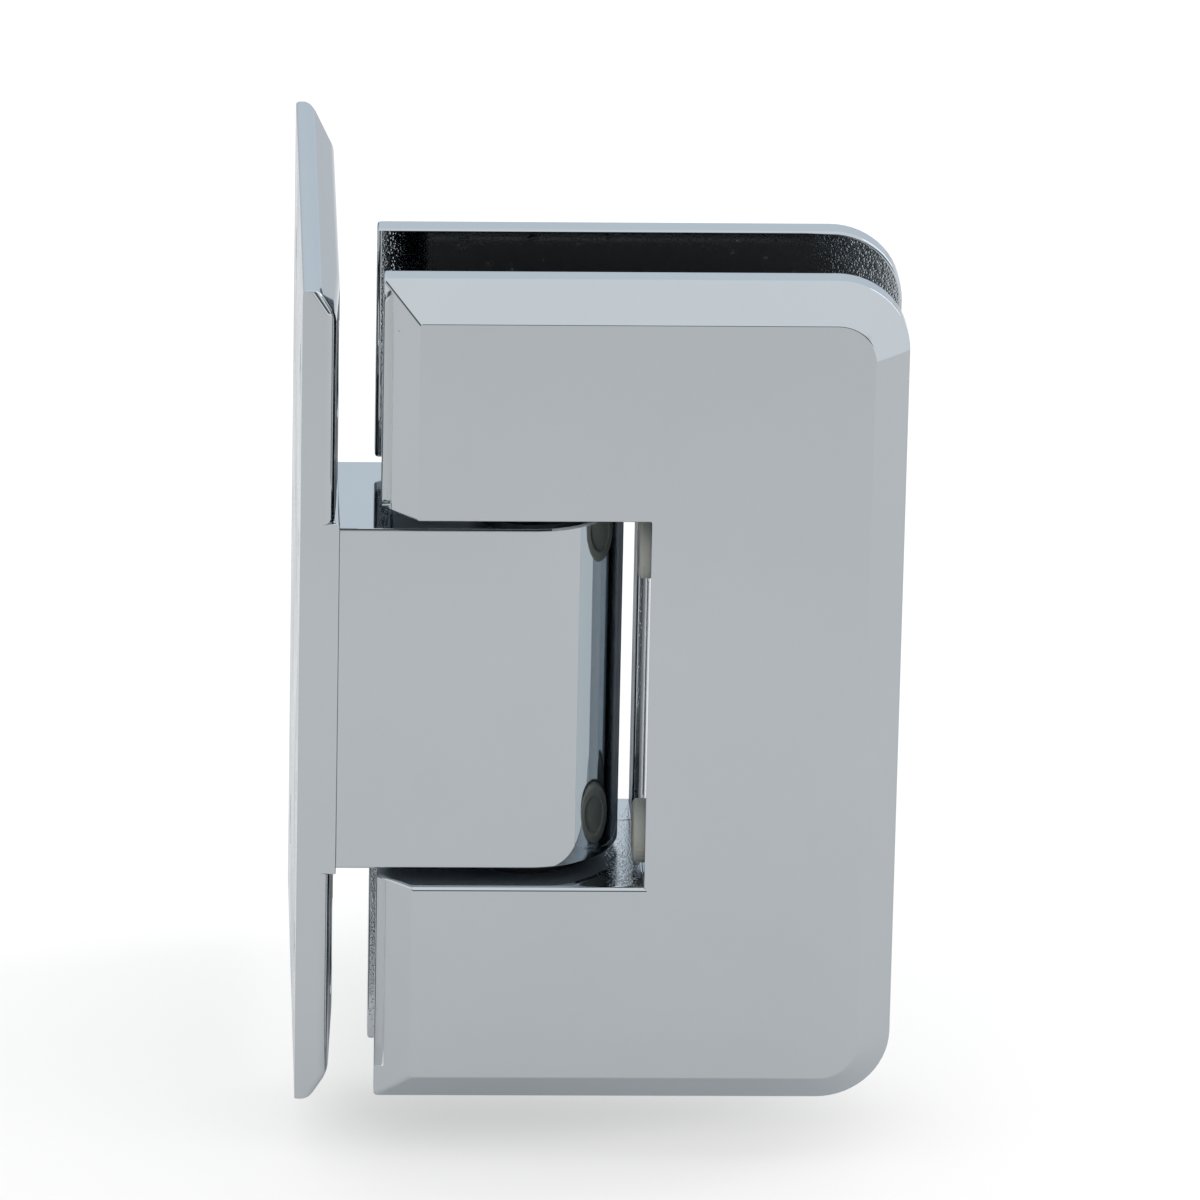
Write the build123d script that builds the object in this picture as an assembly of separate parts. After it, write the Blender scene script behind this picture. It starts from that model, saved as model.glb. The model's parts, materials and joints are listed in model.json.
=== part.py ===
from build123d import *
import os

# Glass shower door hinge with an offset wall plate.
# Frame: X out from the wall, Y from the near side to the far side, Z up.
# The origin is on the wall face, level with the middle of the pivot block.
# All sizes are in millimetres.

# Wall plate
WALL_PLATE_THICKNESS = 4.0
WALL_PLATE_HEIGHT = 89.0
WALL_PLATE_DEPTH = 57.5
WALL_PLATE_EDGE = 1.6
WALL_PLATE_BEVEL = 3.8
WALL_PLATE_OVERHANG = 0.2
RELIEF_DEPTH = 0.6
RELIEF_WIDTH = 14.0
SEAT_MARGIN = 0.6

# Holes for the wall screws
WALL_HOLE_DIAMETER = 5.5
WALL_HOLE_SINK_DIAMETER = 10.0
WALL_HOLE_SPACING_Y = 34.0
WALL_HOLE_SPACING_Z = 64.0
WALL_HOLE_FIRST_Y = 1.0

# Pivot block
BLOCK_HEIGHT = 37.4
BLOCK_DEPTH = 19.0
PIN_STANDOFF = 19.7
BLOCK_CHAMFER = 0.2

# Pivot pin, bushes and thrust washers
PIN_DIAMETER = 8.0
PIN_REACH = 9.5
PIN_CHAMFER = 0.6
PIN_RUNNING_CLEARANCE = 0.05
PIN_RELIEF_CLEARANCE = 0.3
BUSH_WALL = 1.5
BUSH_LENGTH = 8.0
WASHER_THICKNESS = 0.95
WASHER_DIAMETER = 12.0
WASHER_PLAY = 0.45
WASHER_HOLE_CLEARANCE = 0.2

# Detent that centres the door
DETENT_FLAT_DEPTH = 0.3
DETENT_FLAT_HEIGHT = 20.0
DETENT_SPACING = 9.2
DETENT_CLEARANCE = 0.05
PLUNGER_DIAMETER = 7.0
PLUNGER_LENGTH = 6.0
PLUNGER_CHAMFER = 0.5
SPRING_DIAMETER = 6.2
SPRING_WIRE = 0.9
SPRING_TURNS = 2.5
SPRING_PLUG_LENGTH = 3.0
SPRING_PLUG_SOCKET = 3.0

# Clamp plates, which sit a little high in the washers' play
CLAMP_LIFT = 0.39
CLAMP_HEIGHT = 90.0
CLAMP_WIDTH = 53.2
CLAMP_SETBACK = 4.2
REAR_CLAMP_REACH = 0.4
CLAMP_EDGE = 2.5
CLAMP_BEVEL_WIDTH = 3.6
CLAMP_BEVEL_RISE = 3.5
CLAMP_CORNER_RADIUS = 7.5
GLASS_GAP = 11.8
NOSE_CLEARANCE = 2.35
REAR_CUTOUT_STEP = 0.7

# Carrier boss between the clamp plates
BOSS_WALL_TOP = 12.4
BOSS_WALL_END = 10.5
BOSS_SETBACK = 1.0

# Glass gaskets
GASKET_THICKNESS = 1.0
GASKET_INSET = 5.0
GASKET_BOSS_GAP = 0.6

# Fasteners
BLOCK_SCREW_DIAMETER = 5.0
BLOCK_SCREW_HEAD = 9.2
BLOCK_SCREW_GRIP = 10.0
BLOCK_SCREW_SPACING = 27.0
CLAMP_SCREW_DIAMETER = 5.0
CLAMP_SCREW_HEAD = 9.5
CLAMP_SCREW_BITE = 3.5
CLAMP_SCREW_EDGE = 4.4
SET_SCREW_DIAMETER = 4.0
SET_SCREW_LENGTH = 7.0
SET_SCREW_RISE = 3.0
SET_SCREW_FLAT_DEPTH = 0.4
SOCKET_DEPTH_SHARE = 0.6
FASTENER_CLEARANCE = 0.05

# Buffer plugs in the end wall of the cutout
BUFFER_DIAMETER = 6.6
BUFFER_DEPTH = 4.0
BUFFER_PROUD = 1.1
BUFFER_DISH_DIAMETER = 4.3
BUFFER_DISH_DEPTH = 0.5
BUFFER_SPACING = 31.4
BUFFER_OFFSET_Y = 6.4
BUFFER_DROP = 0.3
BUFFER_CHAMFER = 0.3

# Places worked out from the sizes above
OVERSHOOT = 1.0
plate_face_x = WALL_PLATE_THICKNESS
plate_near_y = -BLOCK_DEPTH / 2 - WALL_PLATE_OVERHANG
pin_x = plate_face_x + PIN_STANDOFF
pin_radius = PIN_DIAMETER / 2
block_half_height = BLOCK_HEIGHT / 2
cutout_half_height = block_half_height + WASHER_PLAY + WASHER_THICKNESS
pin_half_length = cutout_half_height + PIN_REACH
clamp_left_x = plate_face_x + CLAMP_SETBACK
clamp_right_x = clamp_left_x + CLAMP_WIDTH
end_wall_x = pin_x + BLOCK_DEPTH / 2 + NOSE_CLEARANCE
glass_half_gap = GLASS_GAP / 2
clamp_bevel_y = glass_half_gap + CLAMP_EDGE
clamp_face_y = clamp_bevel_y + CLAMP_BEVEL_RISE
boss_left_x = clamp_left_x + BOSS_SETBACK
boss_right_x = end_wall_x + BOSS_WALL_END
boss_half_height = cutout_half_height + BOSS_WALL_TOP
set_screw_z = cutout_half_height + SET_SCREW_RISE
bush_radius = pin_radius + PIN_RUNNING_CLEARANCE + BUSH_WALL
plunger_face_x = pin_x - pin_radius - DETENT_CLEARANCE
plunger_back_x = plunger_face_x - PLUNGER_LENGTH
spring_plug_face_x = plate_face_x + SPRING_PLUG_LENGTH
detent_heights = {"upper": DETENT_SPACING / 2, "lower": -DETENT_SPACING / 2}
clamp_screw_columns = (boss_left_x + CLAMP_SCREW_EDGE, boss_right_x - CLAMP_SCREW_EDGE)
clamp_screw_z = boss_half_height - CLAMP_SCREW_EDGE


def box_between(low, high):
    """A box from its low corner to its high corner."""
    size = [b - a for a, b in zip(low, high)]
    middle = [(a + b) / 2 for a, b in zip(low, high)]
    return Pos(*middle) * Box(*size)


def rod(start, direction, diameter, length):
    """A round rod that starts at a point and runs along a direction."""
    base = Plane(origin=start, z_dir=direction)
    return extrude(base * Circle(diameter / 2), amount=length)


def countersunk(face_point, direction, head_diameter, shank_diameter, length, clearance=0.0):
    """A countersunk screw's outer shape, from its head's face along its shank."""
    head_radius = head_diameter / 2 + clearance
    shank_radius = shank_diameter / 2 + clearance
    cone_height = head_radius - shank_radius
    profile = Polyline(
        (0, 0),
        (head_radius, 0),
        (shank_radius, cone_height),
        (shank_radius, length),
        (0, length),
        (0, 0),
    )
    shape = revolve(Plane.XZ * make_face(profile), axis=Axis.Z)
    return Plane(origin=face_point, z_dir=direction) * shape


def socket_cut(face_point, direction, across, depth):
    """A hexagon socket of a given depth in a screw's face."""
    base = Plane(origin=face_point, z_dir=direction)
    return extrude(base * RegularPolygon(across / 2, 6, major_radius=False), amount=depth)


def wall_outline(x, inset):
    """The wall plate's outline at a height x, drawn in on every side but the near one."""
    depth = WALL_PLATE_DEPTH - inset
    height = WALL_PLATE_HEIGHT - 2 * inset
    plane = Plane(origin=(x, plate_near_y + depth / 2, 0), x_dir=(0, 1, 0), z_dir=(1, 0, 0))
    return plane * Rectangle(depth, height)


def wall_screw_places():
    """Centres of the holes for the wall screws, as Y and Z."""
    for y in (WALL_HOLE_FIRST_Y, WALL_HOLE_FIRST_Y + WALL_HOLE_SPACING_Y):
        for z in (-WALL_HOLE_SPACING_Z / 2, WALL_HOLE_SPACING_Z / 2):
            yield y, z


def block_screw_length():
    return WALL_PLATE_THICKNESS + BLOCK_SCREW_GRIP


def block_screw_heads():
    """Centres of the block screws' head faces, flush with the wall side of the plate."""
    return [(0, 0, z) for z in (-BLOCK_SCREW_SPACING / 2, BLOCK_SCREW_SPACING / 2)]


def make_wall_plate():
    plate = extrude(wall_outline(0, 0), amount=WALL_PLATE_EDGE)
    bevel_sections = [wall_outline(WALL_PLATE_EDGE, 0), wall_outline(plate_face_x, WALL_PLATE_BEVEL)]
    plate += loft(bevel_sections, ruled=True)
    slope = RELIEF_DEPTH / RELIEF_WIDTH
    relief_end_y = plate_near_y + RELIEF_WIDTH
    relief = Polyline(
        (plate_face_x, relief_end_y),
        (plate_face_x + OVERSHOOT, relief_end_y),
        (plate_face_x + OVERSHOOT, plate_near_y - OVERSHOOT),
        (plate_face_x - slope * (RELIEF_WIDTH + OVERSHOOT), plate_near_y - OVERSHOOT),
        (plate_face_x, relief_end_y),
    )
    seat_half_height = block_half_height + SEAT_MARGIN
    relief_height = WALL_PLATE_HEIGHT / 2 - seat_half_height + OVERSHOOT
    relief_section = Pos(0, 0, seat_half_height) * make_face(relief)
    relief_cut = extrude(relief_section, amount=relief_height, dir=(0, 0, 1))
    plate -= relief_cut
    plate -= mirror(relief_cut, about=Plane.XY)
    for y, z in wall_screw_places():
        top = (plate_face_x + FASTENER_CLEARANCE, y, z)
        plate -= countersunk(top, (-1, 0, 0), WALL_HOLE_SINK_DIAMETER, WALL_HOLE_DIAMETER,
                             2 * WALL_PLATE_THICKNESS)
    for head in block_screw_heads():
        plate -= countersunk(head, (1, 0, 0), BLOCK_SCREW_HEAD, BLOCK_SCREW_DIAMETER, block_screw_length(),
                             FASTENER_CLEARANCE)
    return plate


def make_pivot_block():
    body = box_between((plate_face_x, -BLOCK_DEPTH / 2, -block_half_height),
                       (pin_x, BLOCK_DEPTH / 2, block_half_height))
    body += Pos(pin_x, 0, 0) * Cylinder(BLOCK_DEPTH / 2, BLOCK_HEIGHT)
    rims = body.edges().filter_by_position(Axis.Z, block_half_height, block_half_height)
    rims += body.edges().filter_by_position(Axis.Z, -block_half_height, -block_half_height)
    rims = [edge for edge in rims if edge.center().X > plate_face_x + BLOCK_CHAMFER]
    body = chamfer(rims, BLOCK_CHAMFER)
    body -= Pos(pin_x, 0, 0) * Cylinder(pin_radius + PIN_RELIEF_CLEARANCE, BLOCK_HEIGHT)
    bush_pocket = rod((pin_x, 0, block_half_height), (0, 0, -1),
                      2 * (bush_radius + FASTENER_CLEARANCE), BUSH_LENGTH)
    body -= bush_pocket
    body -= mirror(bush_pocket, about=Plane.XY)
    for z in detent_heights.values():
        body -= rod((plate_face_x, 0, z), (1, 0, 0), PLUNGER_DIAMETER, PIN_STANDOFF)
    for head in block_screw_heads():
        body -= rod((plate_face_x, head[1], head[2]), (1, 0, 0),
                    BLOCK_SCREW_DIAMETER + 2 * FASTENER_CLEARANCE, BLOCK_SCREW_GRIP + OVERSHOOT)
    return body


def make_pivot_pin():
    pin = Pos(pin_x, 0, 0) * Cylinder(pin_radius, 2 * pin_half_length)
    pin = chamfer(pin.edges().filter_by(GeomType.CIRCLE), PIN_CHAMFER)
    flats = [(0, DETENT_FLAT_HEIGHT / 2, DETENT_FLAT_DEPTH)]
    for z in (-set_screw_z, set_screw_z):
        flats.append((z, SET_SCREW_DIAMETER / 2 + FASTENER_CLEARANCE, SET_SCREW_FLAT_DEPTH))
    for z, half_height, depth in flats:
        pin -= box_between((pin_x - PIN_DIAMETER, -PIN_DIAMETER, z - half_height),
                           (pin_x - pin_radius + depth, PIN_DIAMETER, z + half_height))
    return pin


def make_bush(side):
    inner = pin_radius + PIN_RUNNING_CLEARANCE
    bush = rod((pin_x, 0, side * block_half_height), (0, 0, -side), 2 * bush_radius, BUSH_LENGTH)
    return bush - Pos(pin_x, 0, 0) * Cylinder(inner, 2 * pin_half_length)


def make_thrust_washer(side):
    hole = pin_radius + WASHER_HOLE_CLEARANCE
    washer = rod((pin_x, 0, side * cutout_half_height), (0, 0, -side), WASHER_DIAMETER, WASHER_THICKNESS)
    return washer - Pos(pin_x, 0, 0) * Cylinder(hole, 2 * pin_half_length)


def make_detent_plunger(z):
    diameter = PLUNGER_DIAMETER - 2 * FASTENER_CLEARANCE
    plunger = rod((plunger_back_x, 0, z), (1, 0, 0), diameter, PLUNGER_LENGTH)
    tip = plunger.edges().filter_by(GeomType.CIRCLE).sort_by(Axis.X)[-1]
    return chamfer(tip, PLUNGER_CHAMFER)


def make_detent_spring(z):
    """A coil spring of square wire, held between its plug and the plunger's back."""
    ring_radius = (SPRING_DIAMETER - SPRING_WIRE) / 2
    span = plunger_back_x - spring_plug_face_x - SPRING_WIRE - 2 * FASTENER_CLEARANCE
    helix = Helix(pitch=span / SPRING_TURNS, height=span, radius=ring_radius)
    section = Plane(origin=helix @ 0, z_dir=helix % 0) * Rectangle(SPRING_WIRE, SPRING_WIRE)
    coil = sweep(section, path=helix, is_frenet=True)
    start_x = spring_plug_face_x + SPRING_WIRE / 2 + FASTENER_CLEARANCE
    return Plane(origin=(start_x, 0, z), z_dir=(1, 0, 0)) * coil


def make_spring_plug(z):
    diameter = PLUNGER_DIAMETER - 2 * FASTENER_CLEARANCE
    plug = rod((plate_face_x, 0, z), (1, 0, 0), diameter, SPRING_PLUG_LENGTH)
    return plug - socket_cut((plate_face_x, 0, z), (1, 0, 0), SPRING_PLUG_SOCKET,
                             SPRING_PLUG_LENGTH * SOCKET_DEPTH_SHARE)


def make_block_screws():
    screws = []
    for head in block_screw_heads():
        screw = countersunk(head, (1, 0, 0), BLOCK_SCREW_HEAD, BLOCK_SCREW_DIAMETER, block_screw_length())
        socket_depth = (BLOCK_SCREW_HEAD - BLOCK_SCREW_DIAMETER) / 2
        socket_width = BLOCK_SCREW_DIAMETER * SOCKET_DEPTH_SHARE
        screws.append(screw - socket_cut(head, (1, 0, 0), socket_width, socket_depth))
    return Compound(screws)


def clamp_outline(y, inset, reach):
    """A clamp plate's outline at depth y: square towards the wall, round at the free end."""
    width = CLAMP_WIDTH + reach
    outline = Rectangle(width - 2 * inset, CLAMP_HEIGHT - 2 * inset)
    free_corners = outline.vertices().sort_by(Axis.X)[-2:]
    outline = fillet(free_corners, CLAMP_CORNER_RADIUS - inset)
    middle_x = clamp_right_x - width / 2
    return Plane(origin=(middle_x, y, 0), x_dir=(1, 0, 0), z_dir=(0, -1, 0)) * outline


def clamp_plate(reach=0.0):
    """A near plate of the clamp, bevelled all round, before its cutout. Reach lengthens it wallwards."""
    plate = extrude(clamp_outline(-glass_half_gap, 0, reach), amount=CLAMP_EDGE)
    bevel_sections = [clamp_outline(-clamp_bevel_y, 0, reach),
                      clamp_outline(-clamp_face_y, CLAMP_BEVEL_WIDTH, reach)]
    return plate + loft(bevel_sections, ruled=True)


def cutout(end_x):
    """The space in a clamp half for the pivot block, open towards the wall."""
    return box_between((plate_face_x, -clamp_face_y - OVERSHOOT, -cutout_half_height),
                       (end_x, clamp_face_y + OVERSHOOT, cutout_half_height))


def clamp_screw_heads():
    """Centres of the clamp screws' head faces, flush with the far plate."""
    for x in clamp_screw_columns:
        for z in (-clamp_screw_z, clamp_screw_z):
            yield x, clamp_face_y, z


def clamp_screw_length():
    return clamp_face_y + glass_half_gap + CLAMP_SCREW_BITE


def clamp_screw_hole(head):
    """The hole that a clamp screw fills, with a little room past its tip."""
    return countersunk(head, (0, -1, 0), CLAMP_SCREW_HEAD, CLAMP_SCREW_DIAMETER,
                       clamp_screw_length() + FASTENER_CLEARANCE, FASTENER_CLEARANCE)


def set_screw_tip_x():
    return pin_x - pin_radius + SET_SCREW_FLAT_DEPTH - FASTENER_CLEARANCE


def buffer_places():
    """Centres of the buffer plugs on the end wall."""
    return {"upper": (end_wall_x, -BUFFER_OFFSET_Y, BUFFER_SPACING / 2 - BUFFER_DROP),
            "lower": (end_wall_x, -BUFFER_OFFSET_Y, -BUFFER_SPACING / 2 - BUFFER_DROP)}


def buffer_pocket(place):
    """The space that a buffer plug takes in the clamp, its proud end included."""
    x, y, z = place
    diameter = BUFFER_DIAMETER + 2 * FASTENER_CLEARANCE
    proud = BUFFER_PROUD + FASTENER_CLEARANCE
    return rod((x - proud, y, z), (1, 0, 0), diameter, proud + BUFFER_DEPTH)


def make_front_clamp():
    clamp = clamp_plate()
    clamp += box_between((boss_left_x, -glass_half_gap, -boss_half_height),
                         (boss_right_x, glass_half_gap, boss_half_height))
    clamp -= cutout(end_wall_x)
    clamp -= Pos(pin_x, 0, 0) * Cylinder(pin_radius + FASTENER_CLEARANCE, 2 * boss_half_height + OVERSHOOT)
    for head in clamp_screw_heads():
        clamp -= clamp_screw_hole(head)
    for z in (-set_screw_z, set_screw_z):
        start = (clamp_left_x - OVERSHOOT, 0, z)
        clamp -= rod(start, (1, 0, 0), SET_SCREW_DIAMETER + 2 * FASTENER_CLEARANCE, pin_x - clamp_left_x)
    for place in buffer_places().values():
        clamp -= buffer_pocket(place)
    return clamp


def make_rear_clamp():
    clamp = mirror(clamp_plate(REAR_CLAMP_REACH), about=Plane.XZ)
    clamp -= cutout(end_wall_x - REAR_CUTOUT_STEP)
    for head in clamp_screw_heads():
        clamp -= clamp_screw_hole(head)
    return clamp


def make_front_gasket():
    """A thin sheet between the glass and the near plate, open round the boss."""
    sheet_back_y = -glass_half_gap + GASKET_THICKNESS
    left_x = clamp_left_x + GASKET_INSET
    half_height = CLAMP_HEIGHT / 2 - GASKET_INSET
    sheet = box_between((left_x, -glass_half_gap, -half_height),
                        (clamp_right_x - GASKET_INSET, sheet_back_y, half_height))
    free_corners = sheet.edges().filter_by(Axis.Y).sort_by(Axis.X)[-2:]
    sheet = fillet(free_corners, CLAMP_CORNER_RADIUS - CLAMP_BEVEL_WIDTH)
    window_half_height = boss_half_height + GASKET_BOSS_GAP
    window = box_between((boss_left_x - OVERSHOOT, -glass_half_gap - OVERSHOOT, -window_half_height),
                         (boss_right_x + GASKET_BOSS_GAP, glass_half_gap, window_half_height))
    return sheet - window


def make_clamp_screws():
    screws = []
    for head in clamp_screw_heads():
        screw = countersunk(head, (0, -1, 0), CLAMP_SCREW_HEAD, CLAMP_SCREW_DIAMETER, clamp_screw_length())
        socket_depth = (CLAMP_SCREW_HEAD - CLAMP_SCREW_DIAMETER) / 2
        socket_width = CLAMP_SCREW_DIAMETER * SOCKET_DEPTH_SHARE
        screws.append(screw - socket_cut(head, (0, -1, 0), socket_width, socket_depth))
    return Compound(screws)


def make_pin_set_screws():
    screws = []
    for z in (-set_screw_z, set_screw_z):
        tail = (set_screw_tip_x() - SET_SCREW_LENGTH, 0, z)
        screw = rod(tail, (1, 0, 0), SET_SCREW_DIAMETER, SET_SCREW_LENGTH)
        socket_depth = SET_SCREW_DIAMETER * SOCKET_DEPTH_SHARE
        screws.append(screw - socket_cut(tail, (1, 0, 0), SET_SCREW_DIAMETER / 2, socket_depth))
    return Compound(screws)


def make_buffer(place):
    """A soft plug let into the end wall, a little proud, with a dished face."""
    x, y, z = place
    bottom = (x + BUFFER_DEPTH, y, z)
    plug = rod(bottom, (-1, 0, 0), BUFFER_DIAMETER, BUFFER_DEPTH + BUFFER_PROUD)
    rim = plug.edges().filter_by(GeomType.CIRCLE).sort_by(Axis.X)[0]
    plug = chamfer(rim, BUFFER_CHAMFER)
    return plug - rod((x - BUFFER_PROUD, y, z), (1, 0, 0), BUFFER_DISH_DIAMETER, BUFFER_DISH_DEPTH)


def make_parts():
    """Every piece of the hinge, by name, with the door's side lifted to where it sits."""
    front_gasket = make_front_gasket()
    wall_side = {
        "wall_plate": make_wall_plate(),
        "pivot_block": make_pivot_block(),
        "block_screws": make_block_screws(),
    }
    door_side = {
        "pivot_pin": make_pivot_pin(),
        "front_clamp": make_front_clamp(),
        "rear_clamp": make_rear_clamp(),
        "front_gasket": front_gasket,
        "rear_gasket": mirror(front_gasket, about=Plane.XZ),
        "clamp_screws": make_clamp_screws(),
        "pin_set_screws": make_pin_set_screws(),
    }
    for name, side in (("upper", 1), ("lower", -1)):
        wall_side[name + "_bush"] = make_bush(side)
        door_side[name + "_thrust_washer"] = make_thrust_washer(side)
    for name, z in detent_heights.items():
        wall_side[name + "_detent_plunger"] = make_detent_plunger(z)
        wall_side[name + "_detent_spring"] = make_detent_spring(z)
        wall_side[name + "_spring_plug"] = make_spring_plug(z)
    for name, place in buffer_places().items():
        door_side[name + "_buffer"] = make_buffer(place)
    lifted = {name: Pos(0, 0, CLAMP_LIFT) * shape for name, shape in door_side.items()}
    return wall_side | lifted


os.makedirs("parts", exist_ok=True)
for node, shape in make_parts().items():
    export_step(shape, f"parts/{node}.step")
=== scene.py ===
import json
import math

import bmesh
import bpy
from mathutils import Matrix, Vector


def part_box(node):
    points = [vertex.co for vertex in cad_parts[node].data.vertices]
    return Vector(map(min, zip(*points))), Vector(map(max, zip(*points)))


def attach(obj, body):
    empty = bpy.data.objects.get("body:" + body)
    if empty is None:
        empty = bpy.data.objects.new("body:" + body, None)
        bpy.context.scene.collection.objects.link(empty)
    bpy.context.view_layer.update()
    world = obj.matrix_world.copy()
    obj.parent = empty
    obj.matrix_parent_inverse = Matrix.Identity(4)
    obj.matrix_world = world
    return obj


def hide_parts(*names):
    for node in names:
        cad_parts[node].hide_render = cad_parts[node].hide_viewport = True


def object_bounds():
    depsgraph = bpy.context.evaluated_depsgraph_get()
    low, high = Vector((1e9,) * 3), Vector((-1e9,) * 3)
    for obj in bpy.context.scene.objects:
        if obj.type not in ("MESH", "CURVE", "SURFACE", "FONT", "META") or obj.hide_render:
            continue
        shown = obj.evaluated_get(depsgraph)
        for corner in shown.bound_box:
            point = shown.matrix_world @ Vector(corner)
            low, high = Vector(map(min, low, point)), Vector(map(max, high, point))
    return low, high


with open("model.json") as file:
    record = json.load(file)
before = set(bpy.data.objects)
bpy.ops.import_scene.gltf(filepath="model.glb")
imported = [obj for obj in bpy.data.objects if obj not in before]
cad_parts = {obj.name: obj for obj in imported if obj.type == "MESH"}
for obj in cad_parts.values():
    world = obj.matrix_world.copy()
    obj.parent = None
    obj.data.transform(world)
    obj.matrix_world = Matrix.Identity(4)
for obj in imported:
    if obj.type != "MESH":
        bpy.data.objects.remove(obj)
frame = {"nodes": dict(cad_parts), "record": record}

# A glass shower door hinge in polished chrome.
# Everything is in metres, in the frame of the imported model.
CAD_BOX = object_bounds()
MM = 0.001

# Camera: place in metres, angles in degrees, focal length in pixels of the square picture
PICTURE_PIXELS = 1200
FOCAL_PIXELS = 12062.1
CAMERA_PLACE = (-0.01857, -1.145685, 0.467197)
CAMERA_YAW = -2.474
CAMERA_PITCH = 21.871
CAMERA_ROLL = 1.183
SENSOR_MM = 36.0
CLIP_END = 20.0

# Floor: a white table that ends on the right, with painted shade that darkens it far in front
FLOOR_REACH = 4.0
FLOOR_RIGHT = 0.31
FLOOR_DROP = 6.0 * MM
FLOOR_COLOUR = (0.84, 0.82, 0.795)
FLOOR_ROUGHNESS = 0.9
FLOOR_LIFT = 0.45
FLOOR_GLOW = 1.06
FLOOR_PAINTED_SHADE_START = -0.15
FLOOR_PAINTED_SHADE_END = -0.8
FLOOR_PAINTED_SHADE = 0.7

# Sky and lamp: starts, ends and heights are parts of a direction of length 1
SKY_FRONT = (1.30, 1.33, 1.36)
SKY_BACK = (1.22, 1.29, 1.35)
SKY_TURN_START = 0.2
SKY_TURN_END = 0.85
HORIZON_FRONT_START = -0.25
HORIZON_FRONT_END = -0.5
HORIZON_EDGE = 0.04
HORIZON_LOW = 0.36
HORIZON_HIGH = 0.46
HORIZON_SHARE = 0.12
LAMP_DIRECTION = (0.82, 0.27, 0.5)
LAMP_DISTANCE = 1.7
LAMP_SIZE = (0.4, 1.2)
LAMP_POWER = 4.0

# Edges and faces: how they are told apart
SHARP_ANGLE = math.radians(18)
FLAT_ANGLE = math.radians(0.4)
BEVEL_ANGLE = math.radians(60)
MERGE_DISTANCE = 0.002 * MM
NEAR = 0.02 * MM
LONG_EDGE = 5.0 * MM
PLATE_RIM = 4.5 * MM
SEAT_MARGIN = 0.7 * MM
CUTOUT_MARGIN = 4.5 * MM
FACING = 0.99
RELIEF_TURN = 0.02

# Edges: how wide they are rounded
ROUND_SEGMENTS = 5
ROUND_PROFILE = 0.5
WIDEST_ROUND = 1.2 * MM
PLATE_NEAR_ROUND = 1.1 * MM
PLATE_RIM_ROUND = 0.8 * MM
PLATE_WALL_ROUND = 0.5 * MM
PLATE_FINE_ROUND = 0.15 * MM
BLOCK_ROUND = 0.04 * MM
LIP_ROUND = 0.55 * MM
CLAMP_ROUND = 0.35 * MM
RIDGE_ROUND = 0.1 * MM

# Chrome plate: its colour, and the roughness of its clear and its smeared places
CHROME_COLOUR = (0.411, 0.440, 0.460)
CHROME_EDGE_TINT = (0.64, 0.67, 0.71)
POLISHED = (0.035, 0.075)
HAZE = 0.03
RIPPLE_SCALE = 130.0
RIPPLE_DEPTH = 0.008 * MM
PIT_SCALE = 300.0
PIT_SIZE = 0.05
SMEAR_SCALE = 70.0
SMEAR_LOW = 0.35
SMEAR_HIGH = 0.75

# Finishes under the plate
DIMPLE_SCALE = 3800.0
DIMPLE_WIDTH = 0.45
DIMPLE_SMOOTHNESS = 0.3
DIMPLE_DEPTH = 0.035 * MM
GRAIN_SCALE = 5000.0
GRAIN_SHARE = 0.5
STROKE_ANGLE = math.radians(35)
STROKE_STRETCH = 16
STROKE_SCALE = 260.0
STROKE_DEPTH = 0.02 * MM

# Where a finish shows: at the clamp's two ends, in rough spots, far inside and past the nose. On the
# cutout's end wall the near part is also painted lighter and the far part painted darker
END_SOLID = 0.3 * MM
LEFT_FADE = 2.8 * MM
LEFT_REST = 0.1
RIGHT_FADE = 14.0 * MM
END_STEEPNESS = 1.3
SPOT_SCALE = 420.0
SPOT_START = 0.64
SPOT_END = 0.72
SPOT_SHARE = 0.35
SMOOTH_SHARE = 0.04
WALL_SMOOTH_PAINTED_LIGHT_Y = -4.0 * MM
WALL_ROUGH_PAINTED_SHADE_Y = 1.0 * MM
NOSE_FADE = 3.0 * MM

# Painted light: a brighter band on the near clamp's bevel, where it mirrors the wall plate's edge, evens
# out that darker mirror image
BAND_WIDTH = 0.88 * MM
BAND_FOOT = 3.28 * MM
BAND_SLANT = 0.45
BAND_BLUR = 0.1 * MM
BAND_PAINTED_LIGHT = (2.28, 2.13, 2.02)

# Plain materials: how far the grain changes the roughness, and the fibres in the gaskets
UNEVEN_LOW = 0.3
UNEVEN_HIGH = 0.7
UNEVEN_SHARE = 0.15
FIBRE_SCALE = 500.0
FIBRE_SIZE = 0.09

# Sizes and bodies read from the frame
PLATE_LOW, PLATE_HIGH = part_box("wall_plate")
BLOCK_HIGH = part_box("pivot_block")[1]
FRONT_LOW, FRONT_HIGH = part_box("front_clamp")
CUTOUT_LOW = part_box("lower_thrust_washer")[0].z
CLAMP_MIDDLE_Z = (FRONT_LOW.z + FRONT_HIGH.z) / 2
BODY_OF_NODE = {node: body
                for body, nodes in frame["record"]["behaviour"]["bodies"].items()
                for node in nodes}


# Nodes

def set_input(tree, socket, given):
    """Links an input to another node's output, or sets it to a constant."""
    if isinstance(given, bpy.types.NodeSocket):
        tree.links.new(given, socket)
    else:
        socket.default_value = given


def add_node(tree, kind, inputs=(), **settings):
    """A node with some settings, whose inputs are links or constants."""
    node = tree.nodes.new(kind)
    for name, value in settings.items():
        setattr(node, name, value)
    for name, given in inputs:
        set_input(tree, node.inputs[name], given)
    return node


def map_range(tree, value, from_low, from_high, to_low, to_high):
    """A value carried from one range to another, and held within it."""
    limits = [("From Min", from_low), ("From Max", from_high), ("To Min", to_low), ("To Max", to_high)]
    return add_node(tree, "ShaderNodeMapRange", [("Value", value), *limits]).outputs["Result"]


def calculate(tree, operation, first, second):
    """What an operation makes of two values."""
    return add_node(tree, "ShaderNodeMath", [(0, first), (1, second)], operation=operation).outputs[0]


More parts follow.
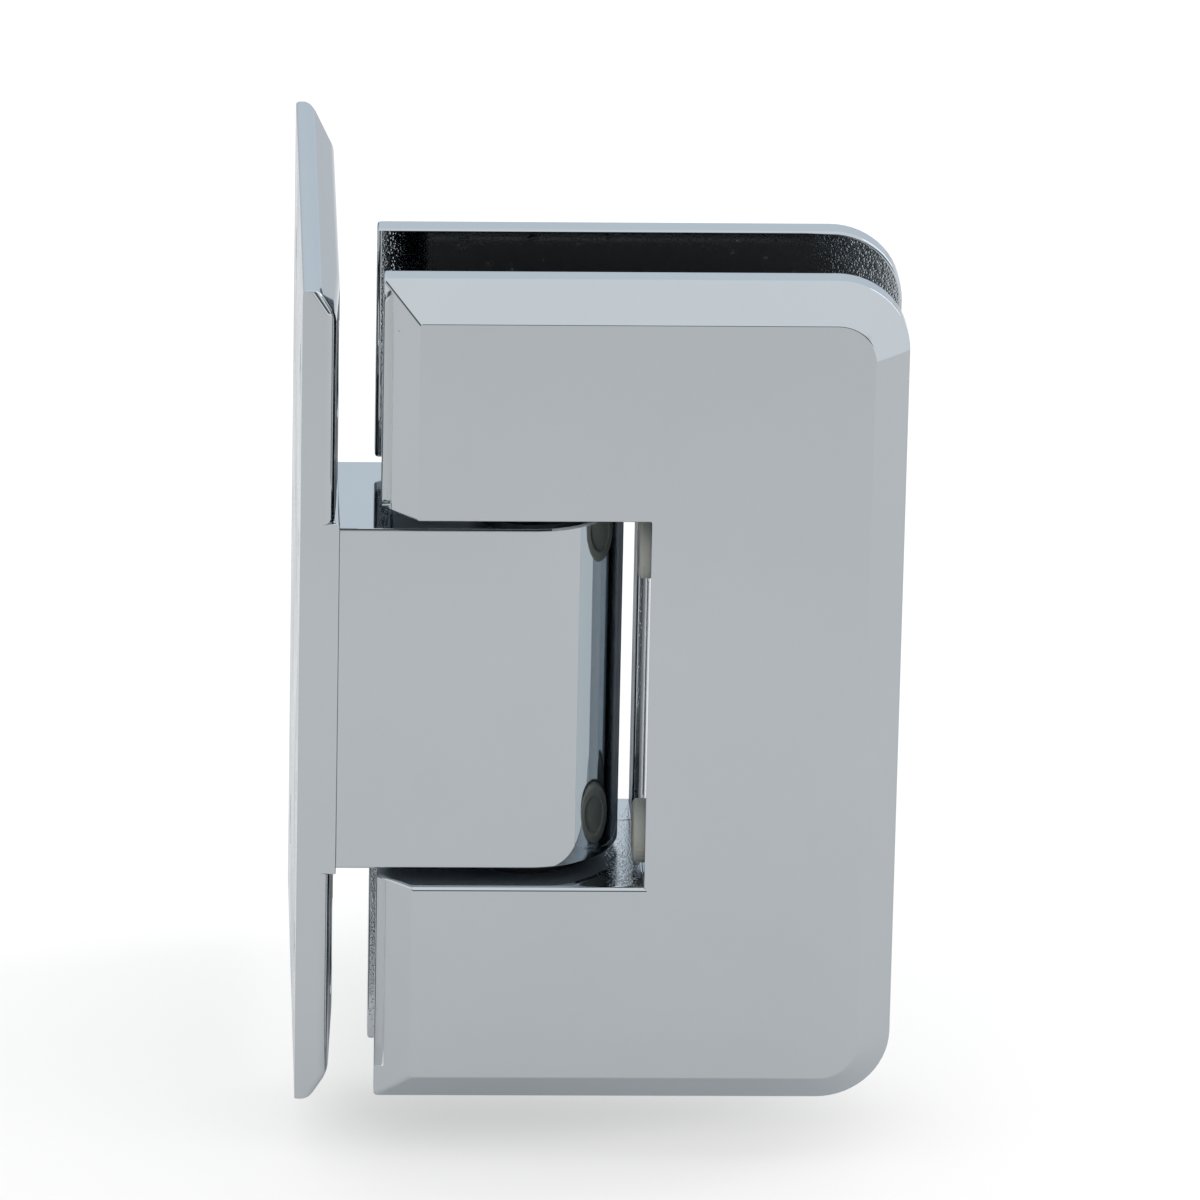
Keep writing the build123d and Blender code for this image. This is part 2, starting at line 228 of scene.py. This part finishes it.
def blend(tree, factor, first, second, kind="FLOAT"):
    """A mix of two values, or of two colours where the kind is RGBA."""
    inputs = [("Factor", factor), ("A", first), ("B", second)]
    return add_node(tree, "ShaderNodeMix", inputs, data_type=kind).outputs["Result"]


def noise(tree, place, scale, detail, roughness=0.5):
    """A cloudy pattern from 0 to 1."""
    inputs = [("Vector", place), ("Scale", scale), ("Detail", detail), ("Roughness", roughness)]
    return add_node(tree, "ShaderNodeTexNoise", inputs).outputs["Fac"]


def cell_distance(tree, place, scale):
    """The distance to the middle of the nearest of many scattered cells."""
    return add_node(tree, "ShaderNodeTexVoronoi", [("Vector", place), ("Scale", scale)]).outputs["Distance"]


def object_place(tree):
    """Where a point lies on its piece."""
    return tree.nodes.new("ShaderNodeTexCoord").outputs["Object"]


def along(tree, place, axis):
    """How far a place lies along X, Y or Z."""
    return add_node(tree, "ShaderNodeSeparateXYZ", [("Vector", place)]).outputs[axis]


def bump(tree, height, distance, normal=None):
    """A normal turned by a height, on top of another normal if one is given."""
    inputs = [("Height", height), ("Strength", 1.0), ("Distance", distance)]
    if normal:
        inputs.append(("Normal", normal))
    return add_node(tree, "ShaderNodeBump", inputs).outputs["Normal"]


def opaque(colour, share=1.0):
    """A colour made lighter or darker by a share, with an alpha of 1."""
    return (*[part * share for part in colour], 1)


def new_material(name):
    """A new material, its node tree and its Principled BSDF."""
    material = bpy.data.materials.new(name)
    material.use_nodes = True
    return material, material.node_tree, material.node_tree.nodes["Principled BSDF"]


def finish_shader(tree, shader, colour, roughness, normal, metallic):
    """Gives a shader its colour, roughness, normal and share of metal."""
    given = {"Base Color": colour, "Roughness": roughness, "Normal": normal, "Metallic": metallic}
    for name, value in given.items():
        set_input(tree, shader.inputs[name], value)


# Studio

def aim_camera():
    """A camera at the photograph's place, turned by yaw, pitch and roll."""
    yaw = math.radians(CAMERA_YAW)
    pitch = math.radians(CAMERA_PITCH)
    roll = math.radians(CAMERA_ROLL)
    right = Vector((math.cos(yaw), math.sin(yaw), 0))
    ahead = Vector((-math.sin(yaw), math.cos(yaw), 0))
    down_ahead = ahead * math.cos(pitch) - Vector((0, 0, math.sin(pitch)))
    up = ahead * math.sin(pitch) + Vector((0, 0, math.cos(pitch)))
    rolled_right = right * math.cos(roll) + up * math.sin(roll)
    rolled_up = up * math.cos(roll) - right * math.sin(roll)
    data = bpy.data.cameras.new("camera")
    data.sensor_width = SENSOR_MM
    data.lens = SENSOR_MM * FOCAL_PIXELS / PICTURE_PIXELS
    data.clip_end = CLIP_END
    camera = bpy.data.objects.new("camera", data)
    axes = Matrix((rolled_right, rolled_up, -down_ahead)).transposed()
    place = Vector(CAMERA_PLACE) + Vector((0, 0, CLAMP_MIDDLE_Z))
    camera.matrix_world = Matrix.Translation(place) @ axes.to_4x4()
    bpy.context.scene.collection.objects.link(camera)
    bpy.context.scene.camera = camera


def light_sky():
    """A soft even sky, a little darker towards the back, with a dark band low in front."""
    world = bpy.data.worlds.new("sky")
    world.use_nodes = True
    tree = world.node_tree
    place = tree.nodes.new("ShaderNodeTexCoord").outputs["Generated"]
    depth = along(tree, place, "Y")
    height = along(tree, place, "Z")
    turn = map_range(tree, depth, SKY_TURN_START, SKY_TURN_END, 0.0, 1.0)
    colour = blend(tree, turn, opaque(SKY_FRONT), opaque(SKY_BACK), "RGBA")
    in_front = map_range(tree, depth, HORIZON_FRONT_START, HORIZON_FRONT_END, 0.0, 1.0)
    above = map_range(tree, height, HORIZON_LOW, HORIZON_HIGH, HORIZON_SHARE, 1.0)
    below = map_range(tree, height, 0.0, HORIZON_EDGE, 1.0, HORIZON_SHARE)
    strength = blend(tree, in_front, 1.0, calculate(tree, "MAXIMUM", above, below))
    background = tree.nodes["Background"]
    set_input(tree, background.inputs["Color"], colour)
    set_input(tree, background.inputs["Strength"], strength)
    bpy.context.scene.world = world


def hang_lamp():
    """A weak soft lamp on the right that gives the corners their glint."""
    data = bpy.data.lights.new("lamp", "AREA")
    data.shape = "RECTANGLE"
    data.size, data.size_y = LAMP_SIZE
    data.energy = LAMP_POWER
    lamp = bpy.data.objects.new("lamp", data)
    place = Vector(LAMP_DIRECTION).normalized() * LAMP_DISTANCE
    lamp.matrix_world = Matrix.Translation(place) @ place.to_track_quat("Z", "Y").to_matrix().to_4x4()
    bpy.context.scene.collection.objects.link(lamp)


def add_object(name, bm):
    """An object at the origin from a bmesh, with smooth faces."""
    for face in bm.faces:
        face.smooth = True
    mesh = bpy.data.meshes.new(name)
    bm.to_mesh(mesh)
    bm.free()
    obj = bpy.data.objects.new(name, mesh)
    bpy.context.scene.collection.objects.link(obj)
    return obj


def make_pale_floor():
    """A matt white that is seen a little lighter than it is lit, with painted shade that darkens its colour
    and glow far in front.
    """
    material, tree, shader = new_material("pale_floor")
    depth = along(tree, object_place(tree), "Y")
    # Painted shade: the floor's colour and glow are scaled down far in front
    painted_shade = map_range(tree, depth, FLOOR_PAINTED_SHADE_END, FLOOR_PAINTED_SHADE_START, FLOOR_PAINTED_SHADE, 1.0)
    colour = add_node(tree, "ShaderNodeVectorMath", [(0, FLOOR_COLOUR), ("Scale", painted_shade)], operation="SCALE")
    tree.links.new(colour.outputs[0], shader.inputs["Base Color"])
    shader.inputs["Roughness"].default_value = FLOOR_ROUGHNESS
    shader.inputs["Specular IOR Level"].default_value = 0.0
    path = tree.nodes.new("ShaderNodeLightPath")
    seen = path.outputs["Is Camera Ray"]
    for ray in ("Is Glossy Ray", "Is Transmission Ray"):
        seen = calculate(tree, "MAXIMUM", seen, path.outputs[ray])
    lift = calculate(tree, "MULTIPLY", seen, FLOOR_LIFT)
    bright = calculate(tree, "MULTIPLY", painted_shade, FLOOR_GLOW)
    glow = add_node(tree, "ShaderNodeEmission", [("Strength", bright)])
    mix = add_node(tree, "ShaderNodeMixShader", [(0, lift), (1, shader.outputs[0]), (2, glow.outputs[0])])
    tree.links.new(mix.outputs[0], tree.nodes["Material Output"].inputs["Surface"])
    return material


def lay_floor():
    """A plain pale table under the hinge."""
    level = CAD_BOX[0][2] - FLOOR_DROP
    corners = [(-FLOOR_REACH, -FLOOR_REACH), (FLOOR_RIGHT, -FLOOR_REACH),
               (FLOOR_RIGHT, FLOOR_REACH), (-FLOOR_REACH, FLOOR_REACH)]
    bm = bmesh.new()
    bm.faces.new([bm.verts.new((x, y, level)) for x, y in corners])
    floor = add_object("floor", bm)
    floor.data.materials.append(make_pale_floor())


# Shared effects

def new_group(name, inputs, outputs):
    """A node group with named sockets. Returns its tree, what it is given and what it puts out."""
    tree = bpy.data.node_groups.new(name, "ShaderNodeTree")
    tree.interface.new_socket("Place", in_out="INPUT", socket_type="NodeSocketVector")
    for socket, value in inputs.items():
        made = tree.interface.new_socket(socket, in_out="INPUT", socket_type="NodeSocketFloat")
        made.default_value = value
    for socket in outputs:
        tree.interface.new_socket(socket, in_out="OUTPUT", socket_type="NodeSocketFloat")
    return tree, tree.nodes.new("NodeGroupInput").outputs, tree.nodes.new("NodeGroupOutput").inputs


def plating_group():
    """Slow ripples, faint smears and a few pits, as polished plating has them."""
    scales = {"Ripple": RIPPLE_SCALE, "Pits": PIT_SCALE}
    tree, given, made = new_group("plating", scales, ["Height", "Smear"])
    ripple = noise(tree, given["Place"], given["Ripple"], detail=1.0)
    smear = noise(tree, given["Place"], SMEAR_SCALE, detail=5.0, roughness=0.65)
    cells = cell_distance(tree, given["Place"], given["Pits"])
    pit = map_range(tree, cells, 0.0, PIT_SIZE, 0.0, 1.0)
    tree.links.new(calculate(tree, "ADD", ripple, pit), made["Height"])
    tree.links.new(smear, made["Smear"])
    return tree


def hammered_group():
    """Small scattered dimples and grains, as unpolished plating has them."""
    tree, given, made = new_group("hammered", {"Size": DIMPLE_SCALE}, ["Height"])
    inputs = [("Vector", given["Place"]), ("Scale", given["Size"]), ("Smoothness", DIMPLE_SMOOTHNESS)]
    cells = add_node(tree, "ShaderNodeTexVoronoi", inputs, feature="SMOOTH_F1")
    dimples = map_range(tree, cells.outputs["Distance"], 0.0, DIMPLE_WIDTH, 0.0, 1.0)
    grain = noise(tree, given["Place"], GRAIN_SCALE, detail=3.0)
    fine = map_range(tree, grain, 0.0, 1.0, 0.0, GRAIN_SHARE)
    tree.links.new(calculate(tree, "ADD", dimples, fine), made["Height"])
    return tree


def milled_group():
    """Fine slanting strokes, as a cutter leaves them."""
    tree, given, made = new_group("milled", {}, ["Height"])
    turn = ("Rotation", (0, 0, STROKE_ANGLE))
    stretch = ("Scale", (1, STROKE_STRETCH, 1))
    turned = add_node(tree, "ShaderNodeMapping", [("Vector", given["Place"]), turn, stretch])
    strokes = noise(tree, turned.outputs[0], STROKE_SCALE, detail=3.0)
    tree.links.new(strokes, made["Height"])
    return tree


def use_group(tree, group, place):
    """What a group puts out at a place."""
    return add_node(tree, "ShaderNodeGroup", [("Place", place)], node_tree=group).outputs


PLATING = plating_group()
HAMMERED = hammered_group()
MILLED = milled_group()


# Masks

def end_mask(tree, place):
    """1 at the two ends of the clamp, and between them little, with a few rough spots."""
    x = along(tree, place, "X")
    left = map_range(tree, x, FRONT_LOW.x + END_SOLID, FRONT_LOW.x + LEFT_FADE, 1.0, LEFT_REST)
    right = map_range(tree, x, FRONT_HIGH.x - RIGHT_FADE, FRONT_HIGH.x - END_SOLID, 0.0, 1.0)
    ends = calculate(tree, "POWER", calculate(tree, "ADD", left, right), END_STEEPNESS)
    cloud = noise(tree, place, SPOT_SCALE, detail=2.0)
    spots = map_range(tree, cloud, SPOT_START, SPOT_END, SMOOTH_SHARE, SPOT_SHARE)
    return calculate(tree, "ADD", ends, spots)


def far_mask(tree, place):
    """0 on the near part of the cutout's end wall, which is painted lighter, and 1 on its far part, which
    is rougher and painted darker.
    """
    return map_range(tree, along(tree, place, "Y"), WALL_SMOOTH_PAINTED_LIGHT_Y, WALL_ROUGH_PAINTED_SHADE_Y, 0.0, 1.0)


def past_nose_mask(tree, place):
    """1 on the cutout's floor to the right of the block's nose, and 0 under the block."""
    return map_range(tree, along(tree, place, "X"), BLOCK_HIGH.x - NOSE_FADE, BLOCK_HIGH.x, 0.0, 1.0)


def painted_light_band_mask(tree, place):
    """1 in a narrow band along the bevel's edge beside the wall plate, above a slanting foot, where light
    is painted.
    """
    x = along(tree, place, "X")
    end = FRONT_LOW.x + BAND_WIDTH
    across = map_range(tree, x, end, end + BAND_BLUR, 1.0, 0.0)
    slant = calculate(tree, "MULTIPLY", x, -BAND_SLANT)
    height = calculate(tree, "ADD", slant, along(tree, place, "Z"))
    foot = FRONT_LOW.z + BAND_FOOT - BAND_SLANT * FRONT_LOW.x
    above_foot = map_range(tree, height, foot, foot + BAND_BLUR, 0.0, 1.0)
    return calculate(tree, "MULTIPLY", across, above_foot)


# Materials

def make_chrome(name, finish=None, depth=0.0, mask_of=None, roughness=POLISHED, painted_lightness=1.0,
                masked_roughness=POLISHED, masked_painted_lightness=(1.0, 1.0, 1.0), metallic=1.0):
    """Chrome plate over a finish, made lighter or darker by a painted lightness. A mask keeps the finish, a
    roughness and a painted lightness of its own to one place.
    """
    material, tree, shader = new_material(name)
    shader.inputs["Specular Tint"].default_value = opaque(CHROME_EDGE_TINT)
    place = object_place(tree)
    plating = use_group(tree, PLATING, place)
    smear = plating["Smear"]
    dark = opaque(CHROME_COLOUR, painted_lightness * (1 - HAZE))
    light = opaque(CHROME_COLOUR, painted_lightness * (1 + HAZE))
    colour = blend(tree, smear, dark, light, "RGBA")
    dull = map_range(tree, smear, SMEAR_LOW, SMEAR_HIGH, *roughness)
    normal = bump(tree, plating["Height"], RIPPLE_DEPTH)
    if mask_of:
        mask = mask_of(tree, place)
        duller = map_range(tree, smear, SMEAR_LOW, SMEAR_HIGH, *masked_roughness)
        dull = blend(tree, mask, dull, duller)
        # Under the mask the colour is scaled by a painted lightness of its own
        painted_light_factor = blend(tree, mask, opaque((1, 1, 1)), opaque(masked_painted_lightness, 1 / painted_lightness), "RGBA")
        painted_light_product = add_node(tree, "ShaderNodeVectorMath", [(0, colour), (1, painted_light_factor)], operation="MULTIPLY")
        colour = painted_light_product.outputs[0]
    if finish:
        height = use_group(tree, finish, place)["Height"]
        if mask_of:
            height = calculate(tree, "MULTIPLY", height, mask)
        normal = bump(tree, height, depth, normal)
    finish_shader(tree, shader, colour, dull, normal, metallic)
    return material


def make_plain(name, colour, roughness, grain, depth, metallic=0.0, shift=0.08, fibre=None):
    """A matt or turned surface with a fine grain, an uneven colour and maybe a few light fibres."""
    material, tree, shader = new_material(name)
    place = object_place(tree)
    uneven = noise(tree, place, grain, detail=4.0)
    shown = blend(tree, uneven, opaque(colour, 1 - shift), opaque(colour, 1 + shift), "RGBA")
    if fibre:
        cells = cell_distance(tree, place, FIBRE_SCALE)
        share = map_range(tree, cells, FIBRE_SIZE / 2, FIBRE_SIZE, 1.0, 0.0)
        shown = blend(tree, share, shown, opaque(fibre), "RGBA")
    smoothest = roughness * (1 - UNEVEN_SHARE)
    roughest = roughness * (1 + UNEVEN_SHARE)
    dull = map_range(tree, uneven, UNEVEN_LOW, UNEVEN_HIGH, smoothest, roughest)
    finish_shader(tree, shader, shown, dull, bump(tree, uneven, depth), metallic)
    return material


CHROME = make_chrome("chrome")
CHROME_INSIDE = make_chrome("chrome_inside", HAMMERED, DIMPLE_DEPTH, end_mask)
CHROME_ROUGH = make_chrome("chrome_rough", HAMMERED, DIMPLE_DEPTH, roughness=(0.1, 0.25))
# Painted light and shade on the cutout's end wall: the near part is painted lighter so its mirror image in
# the block's nose is brighter, and the far part is painted darker as shade deep in the cutout, besides
# being rougher
CHROME_WALL_PAINTED_LIGHT_AND_SHADE = make_chrome("chrome_wall_painted_light_and_shade", HAMMERED, DIMPLE_DEPTH, far_mask, painted_lightness=2.05,
                          masked_roughness=(0.4, 0.6), masked_painted_lightness=(0.6, 0.6, 0.6))
CHROME_FLOOR = make_chrome("chrome_floor", HAMMERED, DIMPLE_DEPTH, past_nose_mask,
                           masked_roughness=(0.08, 0.16))
# Painted shade: the plate's relief beside the block is painted half as light as the chrome, besides being
# rougher
CHROME_RELIEF_PAINTED_SHADE = make_chrome("chrome_relief_painted_shade", HAMMERED, DIMPLE_DEPTH, roughness=(0.35, 0.6), painted_lightness=0.5)
# Painted light: the milled undersides in the narrow gaps are painted nearly twice as light as the chrome to
# stand in for light reaching them; the slanting strokes are the cutter's
CHROME_MILLED_PAINTED_LIGHT = make_chrome("chrome_milled_painted_light", MILLED, STROKE_DEPTH, roughness=(0.35, 0.45), painted_lightness=1.9,
                            metallic=0.25)
# Painted light: the bevel's band is painted about twice as light to even out the plate's darker mirror
# image
CHROME_BEVEL_PAINTED_LIGHT = make_chrome("chrome_bevel_painted_light", mask_of=painted_light_band_mask, masked_painted_lightness=BAND_PAINTED_LIGHT)
# Painted shade: a nearly black line on the block's top front chamfer
CHROME_EDGE_PAINTED_SHADE = make_chrome("chrome_edge_painted_shade", roughness=(0.2, 0.3), painted_lightness=0.12)
STEEL = make_plain("steel", (0.42, 0.42, 0.43), roughness=0.28, grain=900.0, depth=0.004 * MM,
                   metallic=1.0)
BRASS = make_plain("brass", (0.72, 0.55, 0.30), roughness=0.25, grain=700.0, depth=0.004 * MM,
                   metallic=1.0)
ACETAL = make_plain("acetal", (0.05, 0.05, 0.052), roughness=0.4, grain=1500.0, depth=0.01 * MM)
BUFFER = make_plain("buffer", (0.29, 0.295, 0.265), roughness=0.55, grain=1800.0, depth=0.02 * MM)
GASKET = make_plain("gasket", (0.03, 0.03, 0.03), roughness=0.7, grain=1200.0, depth=0.04 * MM,
                    shift=0.25, fibre=(0.3, 0.3, 0.3))
SLOT_MATERIALS = {
    "steel": STEEL,
    "brass": BRASS,
    "nylon": ACETAL,
    "buffer": BUFFER,
    "gasket": GASKET,
    "chrome_screw": CHROME,
}


# Pieces

def soft_copy(node, name, width_of):
    """A copy of a CAD piece, merged, whose sharp edges are rounded by a width of their own."""
    bm = bmesh.new()
    bm.from_mesh(frame["nodes"][node].data)
    bmesh.ops.remove_doubles(bm, verts=bm.verts, dist=MERGE_DISTANCE)
    bmesh.ops.dissolve_limit(bm, angle_limit=FLAT_ANGLE, verts=bm.verts, edges=bm.edges)
    weight = bm.edges.layers.float.new("bevel_weight_edge")
    for edge in bm.edges:
        if len(edge.link_faces) == 2 and edge.calc_face_angle() > SHARP_ANGLE:
            edge[weight] = width_of(edge) / WIDEST_ROUND
    piece = add_object(name, bm)
    rounding = piece.modifiers.new("rounding", "BEVEL")
    rounding.limit_method = "WEIGHT"
    rounding.width = WIDEST_ROUND
    rounding.segments = ROUND_SEGMENTS
    rounding.profile = ROUND_PROFILE
    rounding.use_clamp_overlap = False
    rounding.material = 0
    flats = piece.modifiers.new("flats", "WEIGHTED_NORMAL")
    flats.keep_sharp = True
    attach(piece, BODY_OF_NODE[node])
    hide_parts(node)
    return piece


def plate_round(edge):
    """The plate's outer rims are well rounded, the block's seat, the holes and short near edges little."""
    start, end = [vert.co for vert in edge.verts]
    middle = (start + end) / 2
    rise = abs(end.z - start.z)
    near_side = middle.y < PLATE_LOW.y + NEAR
    on_rim = near_side or middle.y > PLATE_HIGH.y - PLATE_RIM or abs(middle.z) > PLATE_HIGH.z - PLATE_RIM
    if not on_rim or abs(middle.z) < BLOCK_HIGH.z + SEAT_MARGIN:
        return PLATE_FINE_ROUND
    if near_side and rise < NEAR:
        return PLATE_FINE_ROUND
    if middle.x < NEAR:
        return PLATE_WALL_ROUND
    if near_side and rise > LONG_EDGE:
        return PLATE_NEAR_ROUND
    return PLATE_RIM_ROUND


def clamp_round(edge):
    """The cutout's lower lip is rounded most, the bevels' edges and the inner corners least."""
    first, second = [vert.co for vert in edge.verts]
    on_face = all(abs(co.y - FRONT_LOW.y) < NEAR for co in (first, second))
    if on_face and all(abs(co.z - CUTOUT_LOW) < NEAR for co in (first, second)):
        return LIP_ROUND
    along_bevel = abs(first.y - second.y) < NEAR and edge.calc_face_angle() < BEVEL_ANGLE
    if along_bevel or not edge.is_convex:
        return RIDGE_ROUND
    return CLAMP_ROUND


def paint(piece, material, picks):
    """Gives the faces that a test picks a material of their own."""
    piece.data.materials.append(material)
    slot = len(piece.data.materials) - 1
    for face in piece.data.polygons:
        if picks(face):
            face.material_index = slot


def facing(face, direction):
    """Whether a face points in a direction."""
    return face.normal.dot(Vector(direction).normalized()) > FACING


def in_cutout(face):
    """A face inside the clamp's cutout, away from the clamp's outer edges."""
    return FRONT_LOW.z + CUTOUT_MARGIN < face.center.z < FRONT_HIGH.z - CUTOUT_MARGIN


def is_relief(face):
    """The plate's relief beside the block: it faces out, but turned a little to the near side."""
    return face.normal.x > FACING and face.normal.y < -RELIEF_TURN


def build_chrome():
    """The four chrome pieces, with their less polished hidden sides, and light and shade painted in some
    places.
    """
    plate = soft_copy("wall_plate", "plate_chrome", plate_round)
    block = soft_copy("pivot_block", "block_chrome", lambda edge: BLOCK_ROUND)
    front = soft_copy("front_clamp", "front_clamp_chrome", clamp_round)
    rear = soft_copy("rear_clamp", "rear_clamp_chrome", clamp_round)
    for piece in (plate, block, front, rear):
        piece.data.materials.append(CHROME)
    paint(front, CHROME_INSIDE, lambda face: facing(face, (0, 1, 0)))
    paint(rear, CHROME_INSIDE, lambda face: facing(face, (0, -1, 0)))
    # Painted light: a brighter band on the near clamp's left bevel evens out the wall plate's darker mirror
    # image
    paint(front, CHROME_BEVEL_PAINTED_LIGHT, lambda face: facing(face, (-1, -1, 0)))
    for piece in (front, rear):
        paint(piece, CHROME_ROUGH, lambda face: facing(face, (-1, 0, 0)))
        # The end wall past the block's nose gets painted light near the front and painted shade far inside
        paint(piece, CHROME_WALL_PAINTED_LIGHT_AND_SHADE, lambda face: facing(face, (-1, 0, 0)) and face.center.x > BLOCK_HIGH.x)
        paint(piece, CHROME_FLOOR, lambda face: facing(face, (0, 0, 1)) and in_cutout(face))
        # The undersides in the cutout and under the block get painted light over their milled strokes
        paint(piece, CHROME_MILLED_PAINTED_LIGHT, lambda face: facing(face, (0, 0, -1)) and in_cutout(face))
    paint(block, CHROME_MILLED_PAINTED_LIGHT, lambda face: facing(face, (0, 0, -1)))
    # The block's top front chamfer gets a painted dark line
    paint(block, CHROME_EDGE_PAINTED_SHADE, lambda face: facing(face, (0, -1, 1)))
    paint(plate, CHROME_ROUGH, lambda face: facing(face, (-1, 0, 0)))
    # The relief beside the block gets painted shade
    paint(plate, CHROME_RELIEF_PAINTED_SHADE, is_relief)


# The small pieces that show a little: each one's slot, and how wide its edges are rounded
SOFT_NODES = {
    "pivot_pin": ("steel", 0.15 * MM),
    "block_screws": ("steel", 0.12 * MM),
    "pin_set_screws": ("steel", 0.1 * MM),
    "clamp_screws": ("chrome_screw", 0.12 * MM),
    "upper_thrust_washer": ("nylon", 0.1 * MM),
    "lower_thrust_washer": ("nylon", 0.1 * MM),
    "upper_buffer": ("buffer", 0.12 * MM),
    "lower_buffer": ("buffer", 0.12 * MM),
    "front_gasket": ("gasket", 0.15 * MM),
    "rear_gasket": ("gasket", 0.15 * MM),
}


def build_small_pieces():
    """Rounded copies of the pieces that show a little."""
    for node, (slot, width) in SOFT_NODES.items():
        piece = soft_copy(node, node + "_finished", lambda edge: width)
        piece.data.materials.append(SLOT_MATERIALS[slot])


def dress_nodes():
    """Gives each CAD piece that is kept as it is the finish of its slot."""
    for part in frame["record"]["subparts"]:
        if part["material_slot"] in SLOT_MATERIALS and part["node"] not in SOFT_NODES:
            node = frame["nodes"][part["node"]]
            node.data.materials.clear()
            node.data.materials.append(SLOT_MATERIALS[part["material_slot"]])


aim_camera()
light_sky()
hang_lamp()
lay_floor()
build_chrome()
build_small_pieces()
dress_nodes()

bpy.context.scene.view_settings.view_transform = "Standard"
